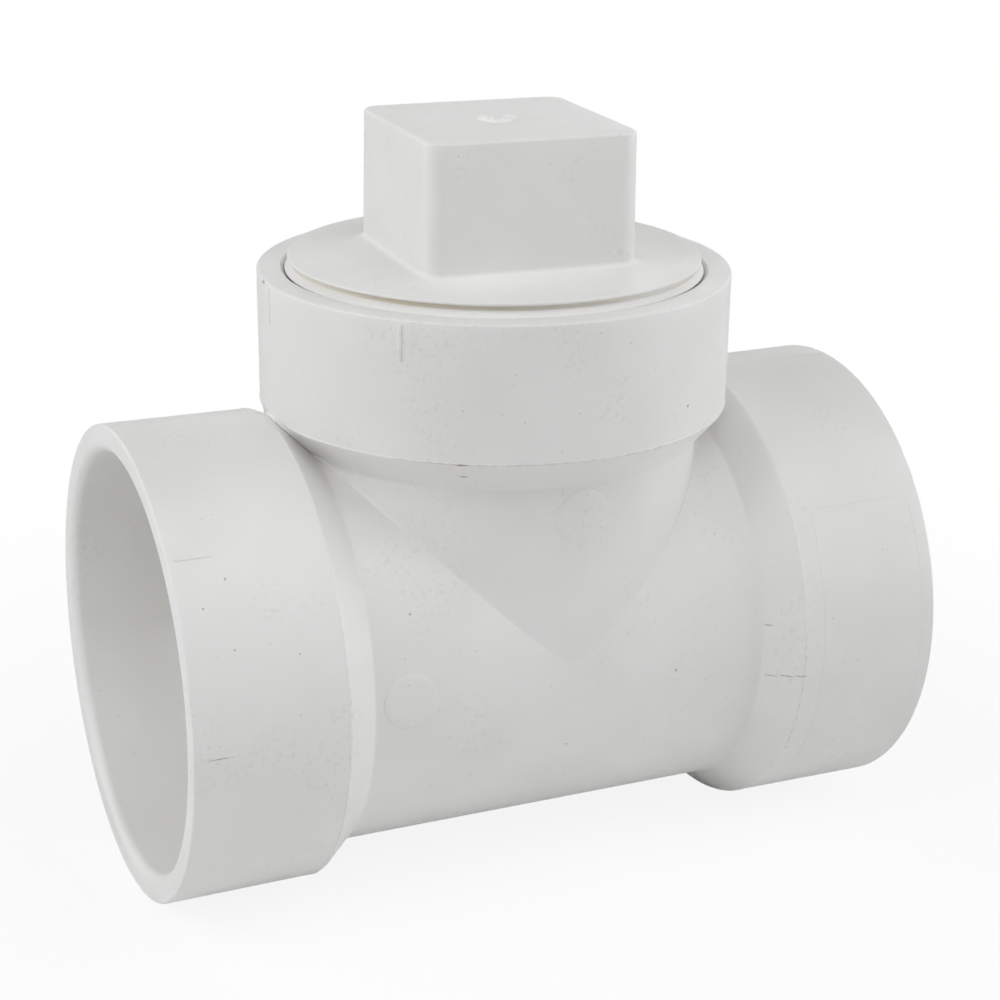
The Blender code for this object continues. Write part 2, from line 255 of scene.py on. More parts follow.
def mouldedPvc(name, look, stains=()):
    # injection-moulded rigid PVC: a near-white satin skin with a soft broad highlight and light handling wear
    material = bpy.data.materials.new(name)
    material.use_nodes = True
    tree = material.node_tree
    shader = tree.nodes["Principled BSDF"]
    place = addNode(tree, "ShaderNodeTexCoord").outputs["Object"]
    clouds, fades = {}, {}
    for key, part in look.items():
        cloud = addNode(tree, "ShaderNodeTexNoise",
                        {"Scale": 1 / mm / part["size"], "Detail": part["detail"]}, {"Vector": place})
        clouds[key] = cloud.outputs["Color" if key == "jitter" else "Fac"]
    for key in ("drift", "patch", "scuff", "dull"):
        fades[key] = addNode(tree, "ShaderNodeMapRange", look[key]["fade"], {"Value": clouds[key]}).outputs[0]
    layers = [(fades["drift"], look["drift"]["colour"])]

    scuff = addNode(tree, "ShaderNodeMath", {"operation": "MULTIPLY"}, {0: fades["patch"], 1: fades["scuff"]})
    layers.append((scuff.outputs[0], look["scuff"]["colour"]))

    reach = look["jitter"]["reach"] * mm
    uneven = addNode(tree, "ShaderNodeVectorMath", {"operation": "MULTIPLY_ADD", 1: (reach, reach, reach)},
                     {0: clouds["jitter"], 2: place}).outputs[0]
    for colour, cell, radius, leftOut, strength in specks:
        cells = addNode(tree, "ShaderNodeTexVoronoi", {"Scale": 1 / mm / cell}, {"Vector": uneven})
        edge = radius / cell
        near = addNode(tree, "ShaderNodeMapRange",
                       {"From Min": edge, "From Max": edge * speckCore, "To Max": strength},
                       {"Value": cells.outputs["Distance"]})
        picked = addNode(tree, "ShaderNodeMath", {"operation": "GREATER_THAN", 1: leftOut},
                         {0: cells.outputs["Color"]})
        share = addNode(tree, "ShaderNodeMath", {"operation": "MULTIPLY"},
                        {0: near.outputs[0], 1: picked.outputs[0]})
        layers.append((share.outputs[0], colour))

    # dirt and painted shade from the vertices' attribute, broken up by a cloud
    dirtAndShade = addNode(tree, "ShaderNodeAttribute", {"attribute_name": "dirtAndShade"})
    broken = addNode(tree, "ShaderNodeMath", {"operation": "MULTIPLY"},
                     {0: dirtAndShade.outputs["Fac"], 1: clouds["dirtAndShade"]})
    share = addNode(tree, "ShaderNodeMapRange", look["dirtAndShade"]["fade"], {"Value": broken.outputs[0]})
    layers.append((share.outputs[0], look["dirtAndShade"]["colour"]))

    nearest = None
    for middle, half in stains:
        scale = tuple(1 / (h * mm) for h in half)
        offset = tuple(-m / h for m, h in zip(middle, half))
        apart = addNode(tree, "ShaderNodeVectorMath", {"operation": "MULTIPLY_ADD", 1: scale, 2: offset},
                        {0: place})
        away = addNode(tree, "ShaderNodeVectorMath", {"operation": "LENGTH"},
                       {0: apart.outputs[0]}).outputs["Value"]
        if nearest:
            away = addNode(tree, "ShaderNodeMath", {"operation": "MINIMUM"}, {0: nearest, 1: away}).outputs[0]
        nearest = away
    if nearest:
        ragged = addNode(tree, "ShaderNodeMath", {"operation": "MULTIPLY_ADD", 1: look["stain"]["ragged"]},
                         {0: clouds["stain"], 2: nearest})
        share = addNode(tree, "ShaderNodeMapRange", look["stain"]["fade"], {"Value": ragged.outputs[0]})
        layers.append((share.outputs[0], look["stain"]["colour"]))

    # each layer is mixed over the one below: inputs 6 and 7 of a colour mix are its two colours
    below = None
    for share, colour in layers:
        layer = addNode(tree, "ShaderNodeMix",
                        {"data_type": "RGBA", 6: linear(look["drift"]["clean"]), 7: linear(colour)},
                        {0: share})
        if below:
            tree.links.new(below, layer.inputs[6])
        below = layer.outputs[2]
    tree.links.new(below, shader.inputs["Base Color"])

    worn = addNode(tree, "ShaderNodeMath", {"operation": "MULTIPLY_ADD", 1: look["scuff"]["dull"]},
                   {0: scuff.outputs[0], 2: fades["dull"]})
    tree.links.new(worn.outputs[0], shader.inputs["Roughness"])
    normal = None
    for key in ("waves", "grain"):
        bump = addNode(tree, "ShaderNodeBump", {"Strength": 1, "Distance": look[key]["height"] * mm},
                       {"Height": clouds[key]})
        if normal:
            tree.links.new(normal, bump.inputs["Normal"])
        normal = bump.outputs[0]
    tree.links.new(normal, shader.inputs["Normal"])
    shader.inputs["IOR"].default_value = pvcIor
    return material


bodyPvc = mouldedPvc("moulded white PVC, body", {**pvcLook, "stain": stainLook}, stains)
plugPvc = mouldedPvc("moulded white PVC, plug", changedLook(groovePvc))
print("materials made")


tee = {
    "pipeRadius": 30.16,
    "branchRadius": 30.01,
    "hubRadius": 34.21,  # at the shoulder
    "hubRimRadius": 34.37,  # the hubs widen a little towards their rims
    "waterway": 26.26,
    "branchWaterway": 26.11,
    "shoulder": (30.16, 34.96),  # where the run's shoulders start and end, from the middle
    "branchShoulder": (29.16, 33.96),
    "runHalf": 57.06,
    "rimHeight": 53.66,
    "pipeStop": 38.01,
    "socketMouth": 30.31,
    "socketBottom": 30.09,
    "socketChamfer": 0.95,
    "rimRound": 0.4,
    "mouthRound": 1.5,  # both edges of the socket's chamfer, so that it reads as one rounded mouth
    "stopRound": 0.3,
    "shoulderRound": 0.7,
    "shoulderFillet": 0.4,
    "witness": (0.25, 0.07, 0.12),  # the fine ridge beside each shoulder: distance, height, half width
    "creaseFillet": 0.45,
    "web": 0.8,  # how much more is filled where two hubs face each other
    "insideRound": 0.4,
    "mouthRadius": 30.985,  # of the threaded branch
    "ledge": 34.56,
    "ledgeRadius": 27.84,
    "ledgeStep": 0.2,  # the thread starts this far above the ledge
    # darker rings along the hubs' shoulder edges and rims: brown dirt, and painted shade
    "dirtAndShade": [
        (False, 34.15, 34.26, 0.16, 0.95, -45, 60),
        (False, 34.15, 34.26, 0.16, 0.5, -180, 180),
        # painted shade where the right shoulder's lower front edge turns away from the light
        (True, 35.2, 34.26, 0.16, 0.6, -30, 4),
        (True, 35.2, 34.26, 0.16, 0.42, -180, 180),
        (True, -35.2, 34.26, 0.16, 0.7, -60, 30),
        (True, -57.0, 34.3, 0.3, 0.45, -180, 180),
        (True, 57.0, 34.3, 0.3, 0.7, -180, 180),
        (False, 53.6, 34.3, 0.3, 0.65, -180, 180),
    ],
}

# where the tee's rows of points lie and how closely its surfaces are worked out
teeRows = {
    "outlineStep": 0.02,
    "outlineArc": 40,  # steps in each rounded corner of an outline
    "farOut": 70.0,  # where the outlines stop, past every rim
    "settled": 40.0,  # past this distance the outside is plain rings
    "creaseRounds": 200,
    "settleRounds": 10,
    "creaseBand": (0, 0.12, 0.25, 0.4, 0.58, 0.8, 1.05, 1.35, 1.7, 2.1),  # distances from the outer crease
    "insideBand": (0, 0.12, 0.26, 0.45, 0.8),
    "squeeze": 0.06,  # how close the rings are pressed where the crease is in their way
    "barrel": 3,  # step of the rings on a plain barrel
    "nearing": (-1.6, -1, -0.6),  # from the shoulder's start
    "startBend": (-0.4, 0.6, 0.12),  # first, last and step round the shoulder's start
    "slope": (0.8, -0.6, 0.55),  # from the start to the end of the shoulder, and step
    "endBend": (-0.48, 0.5, 0.06),
    "leaving": (0.7, 1.2, 2.2),  # past the shoulder's end
    "hub": (44, 49, 53, 55.5),
    "branchHub": (44, 49, 52),
    "inside": (3, 36, 4),  # first, last and step of the waterway's rings
    "insideEnd": 37,
    "branchInside": (4, 31, 4),
}

thread = {
    "pitch": 2.2087,  # 11.5 threads to the inch
    "taper": 1 / 32,
    "depth": 1.45,
    "rimRadius": 29.16,  # pitch radius at the rim
    "flankAngle": 30,
    "crestFlat": 0.25,
    "clearance": 0.3,
    "flankClearance": 0.1,
    "runout": 2.2,
    "neckRunout": 1.0,
    "mouthRunout": 1e-3,  # the mouth's cone cuts the thread off instead
    "phase": 0.75,  # where round the axis a turn starts
    "rowsPerTurn": 14,
    "softness": 0.07,
}


def hubRadiusAt(along, start, rim):
    # the radius of a hub that starts at its shoulder and ends at its rim
    return tee["hubRadius"] + (tee["hubRimRadius"] - tee["hubRadius"]) * (along - start) / (rim - start)


def pitchRadiusAt(height):
    # the taper thread's pitch radius
    return thread["rimRadius"] + (height - tee["rimHeight"]) * thread["taper"]


def outline(points, radii, ridge=None):
    # radius and slope along an axis, sampled finely enough to read by interpolation
    line = np.array(roundedLine(points, radii, teeRows["outlineArc"]))
    at = np.arange(0, points[-1][0], teeRows["outlineStep"])
    radius = np.interp(at, line[:, 0], line[:, 1])
    if ridge:
        beyond, height, half = tee["witness"]
        radius += height * np.clip(1 - abs(at - ridge - beyond) / half, 0, 1)
    return at, radius, np.gradient(radius, at)


def hubOutline(barrel, shoulder, rim):
    # the outside of a barrel that ends in a hub
    start, end = shoulder
    points = [(0, barrel), (start, barrel), (end, tee["hubRadius"]),
              (teeRows["farOut"], hubRadiusAt(teeRows["farOut"], end, rim))]
    return outline(points, {1: tee["shoulderFillet"], 2: tee["shoulderRound"]}, end)


def plainOutline(radius):
    return outline([(0, radius), (teeRows["farOut"], radius)], {})


# each joint is (run, branch, fillet between them)
outsideJoint = (hubOutline(tee["pipeRadius"], tee["shoulder"], tee["runHalf"]),
                hubOutline(tee["branchRadius"], tee["branchShoulder"], tee["rimHeight"]), tee["creaseFillet"])
insideJoint = (plainOutline(tee["waterway"]), plainOutline(tee["branchWaterway"]), tee["insideRound"])


def creaseLine(run, branch):
    # where the two turned surfaces meet, for each column of the right-hand half
    turn = np.linspace(0, math.pi, columns // 2 + 1)
    y = -branch[1][0] * np.cos(turn)
    x = branch[1][0] * np.sin(turn)
    for _ in range(teeRows["creaseRounds"]):
        z = np.sqrt(np.maximum(np.interp(x, run[0], run[1]) ** 2 - y ** 2, 0))
        x = np.sqrt(np.maximum(np.interp(z, branch[0], branch[1]) ** 2 - y ** 2, 0))
    x[0] = x[-1] = 0
    return np.stack([x, y, z], -1)


def settle(points, run, branch, fillet):
    # brings points onto the rounded union of the two turned surfaces
    for _ in range(teeRows["settleRounds"]):
        # a and b are the distances from the run and the branch, na and nb the ways out of them
        x, y, z = points.T
        aside = np.hypot(y, z)
        radius, slope = np.interp(abs(x), run[0], run[1]), np.interp(abs(x), run[0], run[2])
        long = np.sqrt(1 + slope ** 2)
        a = (aside - radius) / long
        na = np.stack([-np.sign(x) * slope, y / aside, z / aside], -1) / long[:, None]
        aside = np.maximum(np.hypot(x, y), 1e-6)
        up = np.maximum(z, 0)
        radius, slope = np.interp(up, branch[0], branch[1]), np.interp(up, branch[0], branch[2])
        long = np.sqrt(1 + slope ** 2)
        b = (aside - radius) / long
        nb = np.stack([x / aside, y / aside, -slope], -1) / long[:, None]
        b = np.where(z < 0, 9, b)  # the branch is far from everything below the axis
        facing = (na * nb).sum(-1)
        k = fillet * (1 - np.clip(facing, 0, 1)) + tee["web"] * np.clip(-facing, 0, 1) ** 2 + 1e-4
        u, v = np.maximum(k - a, 0), np.maximum(k - b, 0)
        corner = np.hypot(u, v)
        away = np.maximum(k, np.minimum(a, b)) - corner
        blend = (u[:, None] * na + v[:, None] * nb) / np.maximum(corner, 1e-9)[:, None]
        plain = np.where((a < b)[:, None], na, nb)
        normal = np.where((corner > 0)[:, None], blend, plain)
        points = points - away[:, None] * normal
    return points


def bandRows(rings, band, kind, radius):
    # rows that follow the crease closely, then rings that give way to it where it is in the way;
    # a band row has a ring below zero, so that only its margin counts
    rows = [(-1 + 0.01 * i, radius, -1, offset, kind) for i, offset in enumerate(band)]
    rows += [(at, radius, at, band[-1] + teeRows["squeeze"] * (i + 1), kind) for i, at in enumerate(rings)]
    return rows


def shapeShell(bm, alongRun):
    # moves a spun shell's rows off their plain rings, up to its outer and inner crease
    ring, margin = bm.verts.layers.float["ring"], bm.verts.layers.float["margin"]
    kind = bm.verts.layers.int["kind"]
    half = columns // 2
    for which, (run, branch, fillet) in ((outerKind, outsideJoint), (innerKind, insideJoint)):
        verts = [vert for vert in bm.verts if vert[kind] == which]
        if not verts:
            continue
        crease = creaseLine(run, branch)
        place = np.array([vert.co for vert in verts])
        ringAt = np.array([vert[ring] for vert in verts])
        marginBy = np.array([vert[margin] for vert in verts])
        side = place[:, 2] if alongRun else place[:, 0]
        turn = np.arctan2(side, -place[:, 1]) % (2 * math.pi)
        column = np.round(turn / (2 * math.pi) * columns).astype(int) % columns
        turn = column / columns * 2 * math.pi
        mirrored = np.where(column > half, columns - column, column)
        cx, cy, cz = crease[mirrored].T
        if alongRun:
            # the lower half has no crease: its columns start on the middle plane, spread between the tips
            first = math.atan2(crease[0, 2], -crease[0, 1])
            last = math.atan2(crease[-1, 2], -crease[-1, 1])
            lower = column > half
            start = np.where(lower, 0, cx)
            spread = last + (column - half) / half * (first + 2 * math.pi - last)
            angle = np.where(lower, spread, np.arctan2(cz, -cy))
        else:
            start = cz
            sign = np.where(column > half, -1, 1)
            angle = np.arctan2(sign * cx, -cy) % (2 * math.pi)
            angle = np.where((column > half) & (angle < 1), angle + 2 * math.pi, angle)
        along = np.maximum(ringAt, start + marginBy)
        share = np.clip((along - start) / (teeRows["settled"] - start), 0, 1)
        angle = turn + (angle - turn) * (1 - share) ** 2
        sizes = run if alongRun else branch
        radius = np.interp(along, sizes[0], sizes[1])
        if alongRun:
            moved = np.stack([along, -radius * np.cos(angle), radius * np.sin(angle)], -1)
        else:
            moved = np.stack([radius * np.sin(angle), -radius * np.cos(angle), along], -1)
        onMiddle = moved[:, 0] == 0 if alongRun else np.zeros(len(moved), bool)
        moved = settle(moved, run, branch, fillet)
        moved[onMiddle, 0] = 0
        for vert, point in zip(verts, moved):
            vert.co = point


def threadStrip(low, high, outwards, crestFlat, lowFade, highFade, mouth=None):
    # a helical strip of right-hand taper thread between two level rings
    flank = thread["depth"] * math.tan(math.radians(thread["flankAngle"]))
    pitch, rows, soft, rim = thread["pitch"], thread["rowsPerTurn"], thread["softness"], tee["rimHeight"]

    def shareAt(along):
        along = abs((along + pitch / 2) % pitch - pitch / 2)
        return max(-0.5, min(0.5, 0.5 - (along - crestFlat / 2) / flank))

    bm = bmesh.new()
    share = bm.verts.layers.float.new("share")
    # the strip runs past both ends, where its points are then pressed level
    firstTurn = math.floor((low - rim) / pitch) - 2
    lastTurn = math.ceil((high - rim) / pitch) + 1
    line = []
    for i in range(firstTurn * rows, lastTurn * rows + 1):
        along = i / rows * pitch
        vert = bm.verts.new((0, -tee["pipeRadius"], rim + along + pitch * thread["phase"]))
        vert[share] = (shareAt(along - soft) + shareAt(along) + shareAt(along + soft)) / 3
        line.append(vert)
    spun(bm, line, merge=False, rise=pitch / columns)
    for vert in bm.verts:
        height = max(low, min(high, vert.co.z))
        fade = max(0, min(1, (height - low) / lowFade, (high - height) / highFade))
        faded = (vert[share] + 0.5) * fade - 0.5
        radius = pitchRadiusAt(height) + outwards + faded * thread["depth"]
        if mouth:
            radius = max(radius, mouth - (rim - height))
        turn = columnAt(vert.co) / columns * 2 * math.pi
        vert.co = (radius * math.sin(turn), -radius * math.cos(turn), height)
    bmesh.ops.remove_doubles(bm, verts=bm.verts, dist=weldDistance)
    return bm


def fixedRows(points):
    return [(height, radius, 0, 0, fixedKind) for height, radius in points]


def hubRows(shoulder, rim, rings):
    return [(at, hubRadiusAt(at, shoulder[1], rim)) for at in (teeRows["settled"], *rings)]


def shoulderRings(first, start, end):
    # rows that lie close together where a shoulder leaves the barrel and where it meets its hub
    rows = teeRows
    (bendFrom, bendTo, bendStep), (slopeFrom, slopeTo, slopeStep) = rows["startBend"], rows["slope"]
    (endFrom, endTo, endStep) = rows["endBend"]
    rings = list(np.arange(first, start - 2, rows["barrel"])) + [start + by for by in rows["nearing"]]
    rings += list(np.arange(start + bendFrom, start + bendTo, bendStep))
    rings += list(np.arange(start + slopeFrom, end + slopeTo, slopeStep))
    return rings + list(np.arange(end + endFrom, end + endTo, endStep)) + [end + by for by in rows["leaving"]]


def runShell():
    # the right-hand half of the run, from its middle plane to its rim and back inside
    end, stop, waterway = tee["runHalf"], tee["pipeStop"], tee["waterway"]
    outer = bandRows(shoulderRings(3, *tee["shoulder"]), teeRows["creaseBand"], outerKind, tee["pipeRadius"])
    hub = hubRows(tee["shoulder"], end, teeRows["hub"])
    mouth, chamfer, soft = tee["socketMouth"], tee["socketChamfer"], tee["mouthRound"]
    rim = roundedLine([hub[-1], (end, tee["hubRimRadius"]), (end, mouth + chamfer), (end - chamfer, mouth),
                       (stop, tee["socketBottom"]), (stop, waterway), (teeRows["insideEnd"], waterway)],
                      {1: tee["rimRound"], 2: soft, 3: soft, 4: tee["stopRound"], 5: tee["stopRound"]})
    inner = bandRows(list(np.arange(*teeRows["inside"])), teeRows["insideBand"], innerKind, waterway)
    bm = spunShell(outer + fixedRows(hub + rim[1:]) + inner[::-1], True)
    shapeShell(bm, True)
    return bm


def branchShells():
    # the branch's outside, its plain inside and the female thread between them
    top, low, waterway = tee["rimHeight"], tee["ledge"] + tee["ledgeStep"], tee["branchWaterway"]
    outer = bandRows(shoulderRings(5, *tee["branchShoulder"]), teeRows["creaseBand"], outerKind,
                     tee["branchRadius"])
    hub = hubRows(tee["branchShoulder"], top, teeRows["branchHub"])
    rim = roundedLine([hub[-1], (top, tee["hubRimRadius"]), (top, tee["mouthRadius"])],
                      {1: tee["rimRound"]}, 4)
    outside = spunShell(outer + fixedRows(hub + rim[1:]), False)
    core = pitchRadiusAt(low) + thread["clearance"] - thread["depth"] / 2
    ledge = [(low, core), (low, tee["ledgeRadius"]), (tee["ledge"], tee["ledgeRadius"]),
             (tee["ledge"] - (tee["ledgeRadius"] - waterway), waterway)]
    inner = bandRows(list(np.arange(*teeRows["branchInside"])), teeRows["insideBand"], innerKind, waterway)
    inside = spunShell(fixedRows(ledge) + inner[::-1], False)
    for bm in (outside, inside):
        shapeShell(bm, False)
    wide = thread["crestFlat"] + 2 * thread["flankClearance"]
    tapped = threadStrip(low, top, thread["clearance"], wide, thread["runout"], thread["mouthRunout"],
                         tee["mouthRadius"])
    return [outside, inside, tapped]


def laidOn(bm, alongRun, along, turn):
    # bends a flat shape, x along the axis, y round it and z outwards, onto the body's outside
    sizes = outsideJoint[0 if alongRun else 1]
    for vert in bm.verts:
        x, y, z = vert.co
        radius = float(np.interp(abs(along + x), sizes[0], sizes[1]))
        angle = math.radians(turn) + y / radius
        out = radius + z
        if alongRun:
            vert.co = (along + x, -out * math.cos(angle), out * math.sin(angle))
        else:
            vert.co = (out * math.sin(angle), -out * math.cos(angle), along + x)
    bmesh.ops.recalc_face_normals(bm, faces=bm.faces)


mouldMarks = {
    "sink": 0.25,  # how far each mark reaches into the wall that carries it
    "tick": {"length": 5.05, "width": 0.66, "bevelOfHeight": 0.85, "bevelOfWidth": 0.3, "bevelSteps": 3},
    "ticks": {  # along the run, how far along the axis, degrees round it, height
        "leftTickSide": (True, -53.6, 0, 0.055),
        "leftTickUpper": (True, -53.6, 45, 0.12),
        "rightTickTop": (True, 53.8, 90, 0.14),
        "branchTickLeft": (False, 50.4, -90, 0.14),
        "branchTickFront": (False, 50.4, -45, 0.2),
    },
    "pin": {"radius": 4.0, "height": 0.12, "edge": 0.12, "bend": 0.3, "rings": (0, 1, 2, 3), "steps": 64},
    "pins": {  # along the run, how far along the axis, degrees round it
        "branchPinMark": (False, 24.4, 1.2),
        "runPinMark": (True, -24.9, 2),
    },
    "flash": {"radius": 0.12, "segments": 8, "tip": 0.15, "taper": 4},
    "flashes": {  # side of the run, front or back, degrees round the branch from, to
        "flashRightFront": (1, 1, 28, 82),
        "flashLeftFront": (-1, 1, 58, 86),
        "flashRightBack": (1, -1, 40, 82),
        "flashLeftBack": (-1, -1, 40, 82),
    },
    "insert": {"from": 38.2, "to": 55.2, "upper": 36, "lower": -40, "corner": 2.0, "cornerSteps": 8,
               "edge": 0.45, "height": 0.05, "step": 1.2},
}


def block(length, width, height):
    # a flat block that stands on the wall by its height and is sunk in it
    sink = mouldMarks["sink"]
    bm = bmesh.new()
    bmesh.ops.create_cube(bm, size=1)
    bmesh.ops.scale(bm, vec=(length, width, height + sink), verts=bm.verts)
    bmesh.ops.translate(bm, vec=(0, 0, (height - sink) / 2), verts=bm.verts)
    return bm


def makeTick(name, alongRun, along, turn, height):
    tick = mouldMarks["tick"]
    bm = block(tick["length"], tick["width"], height)
    upper = [edge for edge in bm.edges if min(vert.co.z for vert in edge.verts) > 0]
    offset = min(height * tick["bevelOfHeight"], tick["width"] * tick["bevelOfWidth"])
    bmesh.ops.bevel(bm, geom=upper, offset=offset, segments=tick["bevelSteps"], profile=0.5, affect="EDGES",
                    material=-1)
    laidOn(bm, alongRun, along, turn)
    addPiece(name, bm, "tee", bodyPvc)


def makePinMark(name, alongRun, along, turn):
    # the print of an ejector pin: a thin raised disc
    pin, sink = mouldMarks["pin"], mouldMarks["sink"]
    r, edge, high = pin["radius"], pin["edge"], pin["height"]
    bend = edge * pin["bend"]
    places = [(radius, high) for radius in (*pin["rings"], r - edge)]
    places += [(r - bend, high - bend), (r, high - edge), (r, -sink), (r / 2, -sink), (0, -sink)]
    bm = bmesh.new()
    spun(bm, [bm.verts.new((radius, 0, height)) for radius, height in places], steps=pin["steps"])
    bmesh.ops.remove_doubles(bm, verts=bm.verts, dist=weldDistance)
    laidOn(bm, alongRun, along, turn)
    addPiece(name, bm, "tee", bodyPvc)


def makeFlash(name, side, front, first, last):
    # a thin thread of plastic squeezed out where the mould's halves meet in the crease, tapering off
    # at both ends
    flash = mouldMarks["flash"]
    crease = creaseLine(*outsideJoint[:2])
    path = crease[round(first / 360 * columns):round(last / 360 * columns) + 1]
    path = settle(path, *outsideJoint) * (side, front, 1)
    end = len(path) - 1
    bm = bmesh.new()
    loops = []
    for i, point in enumerate(path):
        tangent = Vector(path[min(i + 1, end)] - path[max(i - 1, 0)])
        share = min(i, end - i) / end
        radius = flash["radius"] * min(1, flash["tip"] + flash["taper"] * share)
        place = Matrix.Translation(Vector(point)) @ tangent.to_track_quat("Z", "Y").to_matrix().to_4x4()
        circle = bmesh.ops.create_circle(bm, cap_ends=i in (0, end), segments=flash["segments"],
                                         radius=radius, matrix=place)
        loops.append(list({edge for vert in circle["verts"] for edge in vert.link_edges}))
    for before, after in zip(loops, loops[1:]):
        bmesh.ops.bridge_loops(bm, edges=before + after)
    bmesh.ops.recalc_face_normals(bm, faces=bm.faces)
    addPiece(name, bm, "tee", bodyPvc, sharpAngle=60)


def makeInsertMark():
    # the seam of the exchangeable plate in the mould: a low rounded frame, its middle sunk in the hub
    insert, sink = mouldMarks["insert"], mouldMarks["sink"]
    length, high = insert["to"] - insert["from"], insert["height"]
    arc = math.radians(insert["upper"] - insert["lower"]) * tee["hubRadius"]
    bm = block(length, arc, high)
    upright = [edge for edge in bm.edges if abs(edge.verts[0].co.z - edge.verts[1].co.z) > sink]
    bmesh.ops.bevel(bm, geom=upright, offset=insert["corner"], segments=insert["cornerSteps"], profile=0.5,
                    affect="EDGES", material=-1)
    top = [face for face in bm.faces if face.normal.z > 0.9]
    outer = {vert.co.to_tuple(3) for face in top for vert in face.verts}
    for depth in (0, -2 * high):
        bmesh.ops.inset_region(bm, faces=top, thickness=insert["edge"] / 2, depth=depth, use_even_offset=True)
    for vert in bm.verts:
        if vert.co.to_tuple(3) in outer:
            vert.co.z = -high
    for i in range(1, int(arc / insert["step"])):
        cut = -arc / 2 + i * insert["step"]
        bmesh.ops.bisect_plane(bm, geom=bm.verts[:] + bm.edges[:] + bm.faces[:], plane_co=(0, cut, 0),
                               plane_no=(0, 1, 0))
    bmesh.ops.triangulate(bm, faces=[face for face in bm.faces if len(face.verts) > 4])
    laidOn(bm, True, (insert["from"] + insert["to"]) / 2, (insert["upper"] + insert["lower"]) / 2)
    addPiece("mouldInsertMark", bm, "tee", bodyPvc)


def makeTeeBody():
    right = runShell()
    left = right.copy()
    bmesh.ops.scale(left, vec=(-1, 1, 1), verts=left.verts)
    bm = joined([right, left] + branchShells())
    soil(bm, tee["dirtAndShade"])
    addPiece("teeBody", bm, "tee", bodyPvc, node="tee_body")


makeTeeBody()
for maker, marks in ((makeTick, "ticks"), (makePinMark, "pins"), (makeFlash, "flashes")):
    for name, where in mouldMarks[marks].items():
        maker(name, *where)
makeInsertMark()


plug = {
    "low": 37.36,
    "discLow": 55.01,
    "discTop": 55.46,
    "discRadius": 29.985,
    "discRound": 0.2,
    "grooveRadius": 29.4,  # the neck between the disc and the collar
    "grooveFoot": 0.1,  # its wall ends this far above the lip
    # height and radius: the collar's lip faces up and catches the light
    "lip": ((54.25, 29.6), (53.5, 30.35), (53.35, 30.35)),
    "collarRadius": 29.715,
    "collarLow": 52.5,
    "collarHigh": 53.1,  # where the lip's underside meets the collar
    "collarEdge": 0.1,
    "edgeRounds": {2: 0.08, 3: 0.06, 4: 0.1, 5: 0.15, 6: 0.12},  # from the disc's lower edge to the lip
    "dome": 0.3,
    "headHalf": 15.7,
    "headTop": 74.81,
    "headMiddle": (0.26, 0),  # the square sits a little off the disc's middle
    "headTurn": -3.2,
    "headDraft": 0.008,  # how much each side leans out towards the foot
    "cornerRadius": 2.8,
    "topRadius": 0.6,
    "footRadius": 0.9,
    "skirtRadius": 24.726,
    "skirtRounds": {1: 0.4, 2: 1.0},
    "ceiling": 52.26,
    "hollowHalf": 12.5,
    "hollowTop": 71.61,
    "hollowMouth": 0.8,  # how far the head's hollow is rounded out at its mouth
    # painted warm shade with a little dirt, in the groove under the disc
    "dirtAndShade": [(False, 54.7, 29.3, 0.5, 1.6, -180, 180)],
}

plugRows = {
    "cornerSteps": 6,  # columns each side of a corner's middle
    "smallest": 0.02,  # radius below which columns could fall together
    "top": (0.08, 0.2, 0.35, 0.5, 0.65, 0.8, 0.92),  # rows on the head's top, as shares of its half width
    "topCorner": 0.2,  # their corners are this much rounder
    "arc": 6,  # steps in each rounded edge
    "wall": 7,
    "disc": 14,
    "discSpread": 1.2,  # above 1 the disc's rows lie closer to the head
    "mouth": (1.0, 0.5, 0.2, 0),  # rows in the hollow's mouth, as shares of its rounding
    "hollow": (56, 60, 65),
    "hollowTop": ((0.6, 0, 0), (0.2, 0.2, 0), (0, 0.7, 0.3)),  # below the top, inset, corner inset
    "hollowTopScales": (0.7, 0.35, 0.08),
}


def squareOutline(half, corner):
    # one point for each column on a square with rounded corners, turned as the head is
    points = []
    eighth = columns // 8
    cornerSteps = plugRows["cornerSteps"]
    flatSteps = eighth - cornerSteps
    for i in range(columns):
        side, step = divmod(i + eighth, 2 * eighth)
        step -= eighth
        if abs(step) <= flatSteps:
            # the columns lie closer together towards the corners
            t = step / flatSteps
            point = Vector(((half - corner) * t * (1.5 - 0.5 * t * t), -half))
        else:
            over = (abs(step) - flatSteps) / cornerSteps * math.pi / 4
            x = half - corner + corner * math.sin(over)
            point = Vector((math.copysign(x, step), -(half - corner) - corner * math.cos(over)))
        points.append(Matrix.Rotation(math.radians(90 * side + plug["headTurn"]), 2) @ point)
    return points


def shapePlugShell(bm, levels):
    # gives each row of a spun shell its own outline: levels is [(half, corner, scale, circle share)]
    ring = bm.verts.layers.float["ring"]
    kind = bm.verts.layers.int["kind"]
    head, disc = plug["headHalf"], plug["discRadius"]
    outlines = [squareOutline(half, corner) for half, corner, _, _ in levels]
    for vert in bm.verts:
        if vert[kind] != squareKind:
            continue
        level = int(round(vert[ring]))
        scale, circle = levels[level][2:]
        i = columnAt(vert.co) % columns
        square = outlines[level][i] * scale + Vector(plug["headMiddle"])
        turn = 2 * math.pi * i / columns
        rim = Vector((math.sin(turn), -math.cos(turn))) * (disc - plug["discRound"])
        place = square.lerp(rim, circle)
        height = vert.co.z
        if circle > 0:
            out = min(1, max(0, (place.length - head) / (disc - head)))
            height = plug["discTop"] + plug["dome"] * (1 - out * out * (3 - 2 * out))
        vert.co = (place.x, place.y, height)


def addLevel(levels, rows, height, half, corner, scale=1, circle=0):
    # one row of the square: its outline goes to levels, its place to rows
    half += plug["headDraft"] * (plug["headTop"] - height)
    rows.append((height, max(half * scale, plugRows["smallest"]), len(levels), 0, squareKind))
    levels.append((half, corner, scale, circle))


